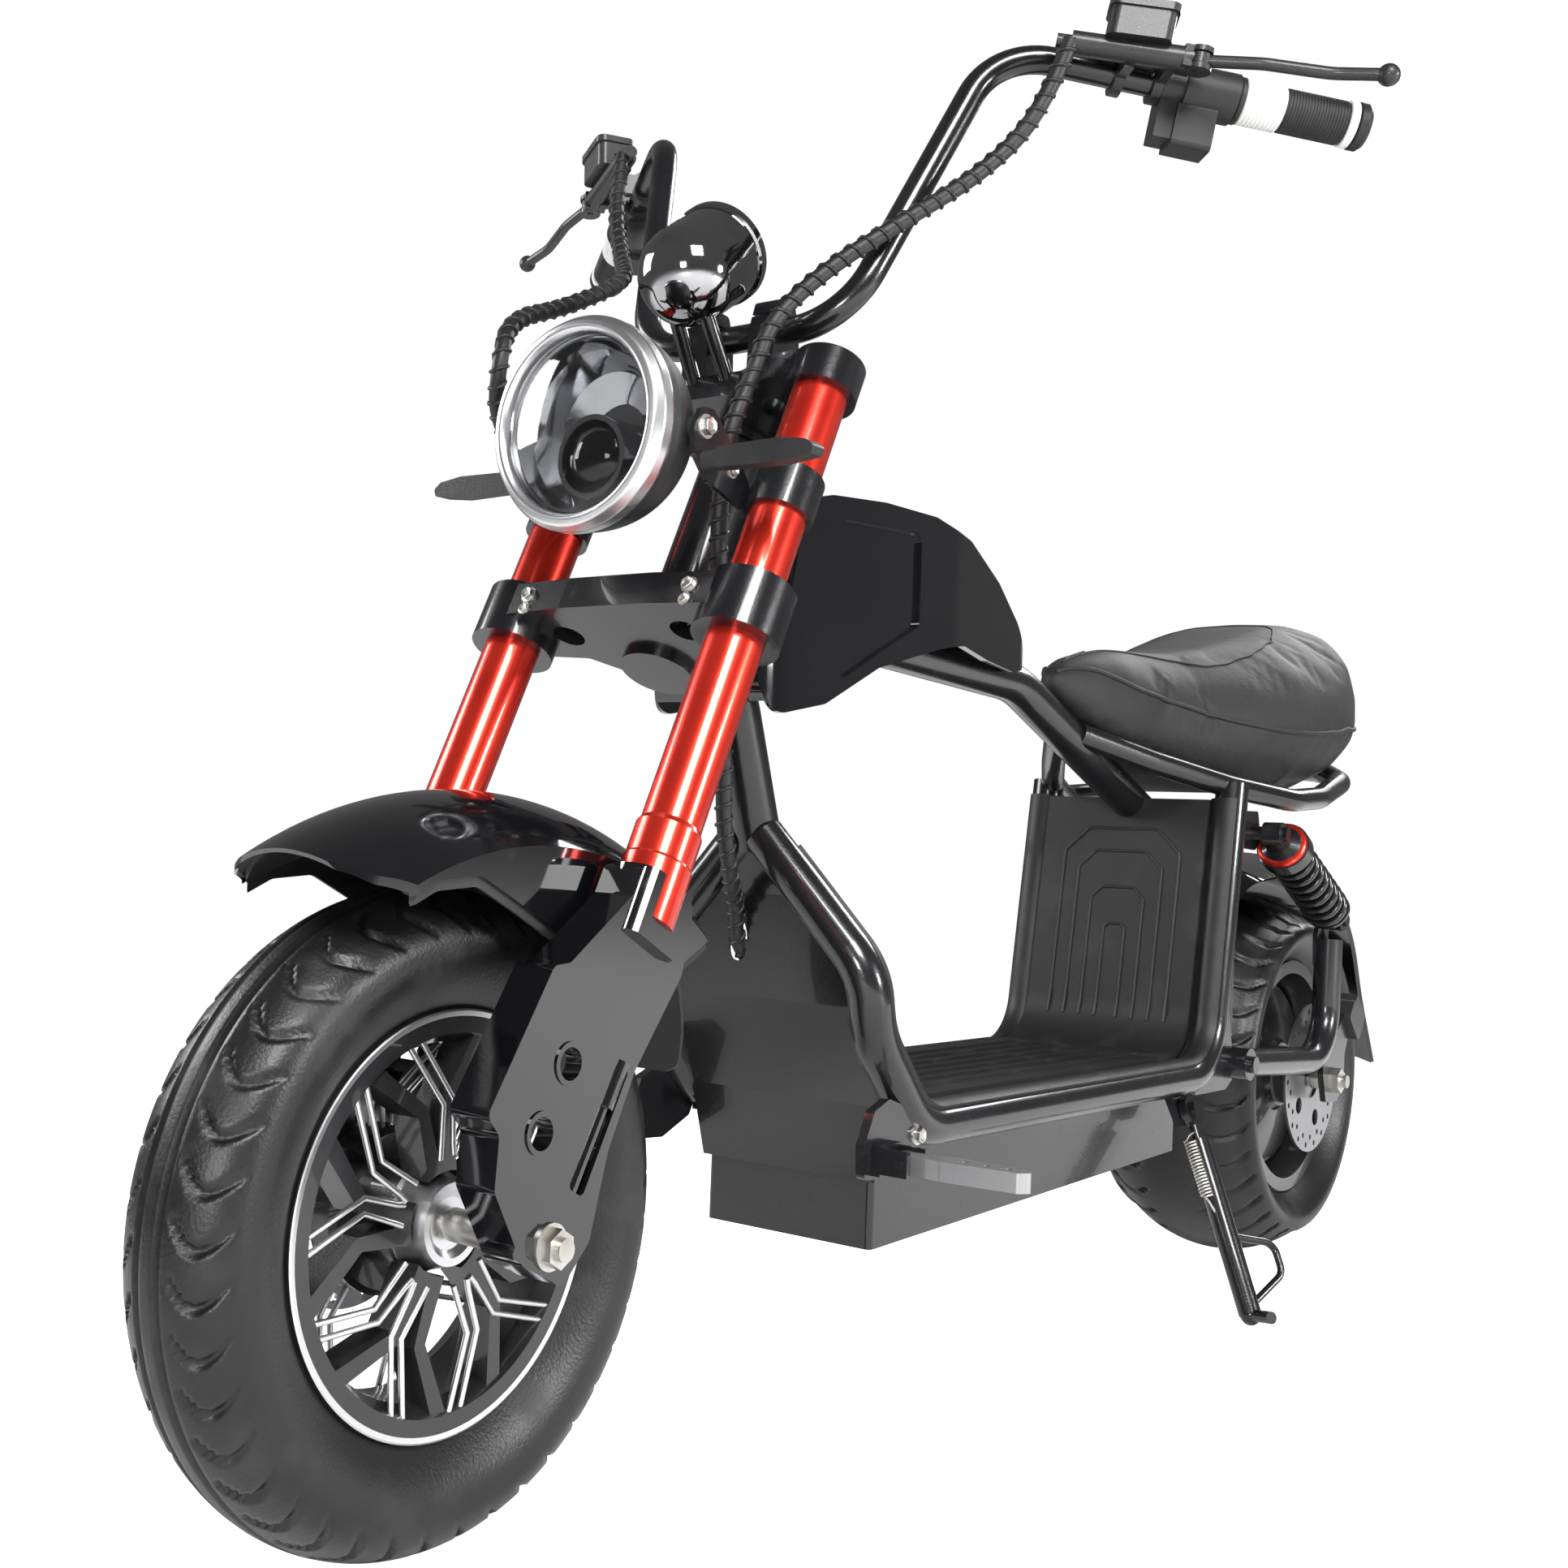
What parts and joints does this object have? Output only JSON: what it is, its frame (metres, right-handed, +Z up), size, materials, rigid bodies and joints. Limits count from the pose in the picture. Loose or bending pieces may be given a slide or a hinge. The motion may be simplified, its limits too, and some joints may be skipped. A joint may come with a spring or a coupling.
{
  "type": "fat-tyre electric scooter",
  "caption": "Chopper-style electric scooter with red fork tubes, fat tyres, high handlebar, flat footboard and saddle, leaning on its side stand.",
  "frame": {"origin": "centre of the bounding box on the floor", "axes": "+X towards the rider's left, +Y towards the rear along the wheelbase, +Z up"},
  "size_m": [0.8732, 1.9428, 1.1598],
  "materials": {
    "tyre_rubber": "moulded rubber with tread",
    "rim_black": "black paint with machined faces",
    "disc_steel": "ground steel",
    "zinc": "zinc plated",
    "red_anodised": "red anodised gloss",
    "gloss_black": "gloss paint",
    "satin_black": "satin paint",
    "silver": "satin silver",
    "glass": "clear",
    "black_plastic": "moulded",
    "chrome": "polished",
    "rubber_black": "ribbed rubber",
    "cast_black": "cast, black paint",
    "spring_black": "gloss black coil",
    "seat_leather": "black leatherette with stitched seams",
    "peg_silver": "silver moulding"
  },
  "bodies": {
    "frame": {"apron": "satin_black", "battery_box": "satin_black", "body_cover": "gloss_black", "foot_mat": "rubber_black", "main_frame": "satin_black", "peg_brackets": "satin_black", "rear_axle": "zinc", "rear_brake_hose_lower": "rubber_black", "rear_caliper": "cast_black", "rear_fender": "gloss_black", "seat": "seat_leather", "seat_rail": "satin_black", "shocks": "spring_black", "side_loops": "satin_black", "stand_bracket": "satin_black", "swingarm": "satin_black"},
    "steering": {"front_axle": "zinc", "fork_tubes": "red_anodised", "leg_covers": "gloss_black", "lower_clamp": "satin_black", "upper_clamp": "satin_black", "headlight_ring": "silver", "headlight_shell": "black_plastic", "headlight_glass": "glass", "headlight_reflector": "chrome", "headlight_projector": "glass", "lamp_ears": "satin_black", "indicators": "black_plastic", "instrument_pod": "chrome", "handlebar": "satin_black", "bar_clamp": "satin_black", "grips": "rubber_black", "switch_boxes": "black_plastic", "master_cylinders": "cast_black", "brake_levers": "cast_black", "front_fender": "gloss_black", "fender_liner": "black_plastic", "front_caliper": "cast_black", "rear_brake_hose_upper": "rubber_black", "front_brake_hose": "rubber_black"},
    "front_wheel": {"front_tyre": "tyre_rubber", "front_rim": "rim_black", "front_hub": "silver", "front_disc": "disc_steel"},
    "rear_wheel": {"rear_tyre": "tyre_rubber", "rear_rim": "rim_black", "rear_disc": "disc_steel"},
    "side_stand": {"side_stand": "satin_black", "stand_spring": "spring_black"},
    "peg_left": {"foot_peg_left": "peg_silver"},
    "peg_right": {"foot_peg_right": "peg_silver"}
  },
  "joints": [
    {"name": "steering", "type": "hinge", "parent": "frame", "child": "steering", "pos_m": [-0.04463, -0.49012, 0.63778], "axis": [0.0935, 0.4478, 0.8893], "range_deg": [-32, 32]},
    {"name": "front_wheel_spin", "type": "hinge", "parent": "steering", "child": "front_wheel", "pos_m": [-0.08893, -0.7545, 0.2163], "axis": [0.9945, 0, -0.1045], "continuous": true},
    {"name": "rear_wheel_spin", "type": "hinge", "parent": "frame", "child": "rear_wheel", "pos_m": [-0.08893, 0.6795, 0.2163], "axis": [0.9945, 0, -0.1045], "continuous": true},
    {"name": "side_stand_fold", "type": "hinge", "parent": "frame", "child": "side_stand", "pos_m": [0.02392, 0.2615, 0.19942], "axis": [0.9487, -0.0273, 0.3149], "range_deg": [0, 88]},
    {"name": "peg_left_fold", "type": "hinge", "parent": "frame", "child": "peg_left", "pos_m": [0.05575, -0.3585, 0.21518], "axis": [0, -1, 0], "range_deg": [0, 80]},
    {"name": "peg_right_fold", "type": "hinge", "parent": "frame", "child": "peg_right", "pos_m": [-0.23068, -0.3585, 0.24528], "axis": [0, 1, 0], "range_deg": [0, 80]}
  ]
}
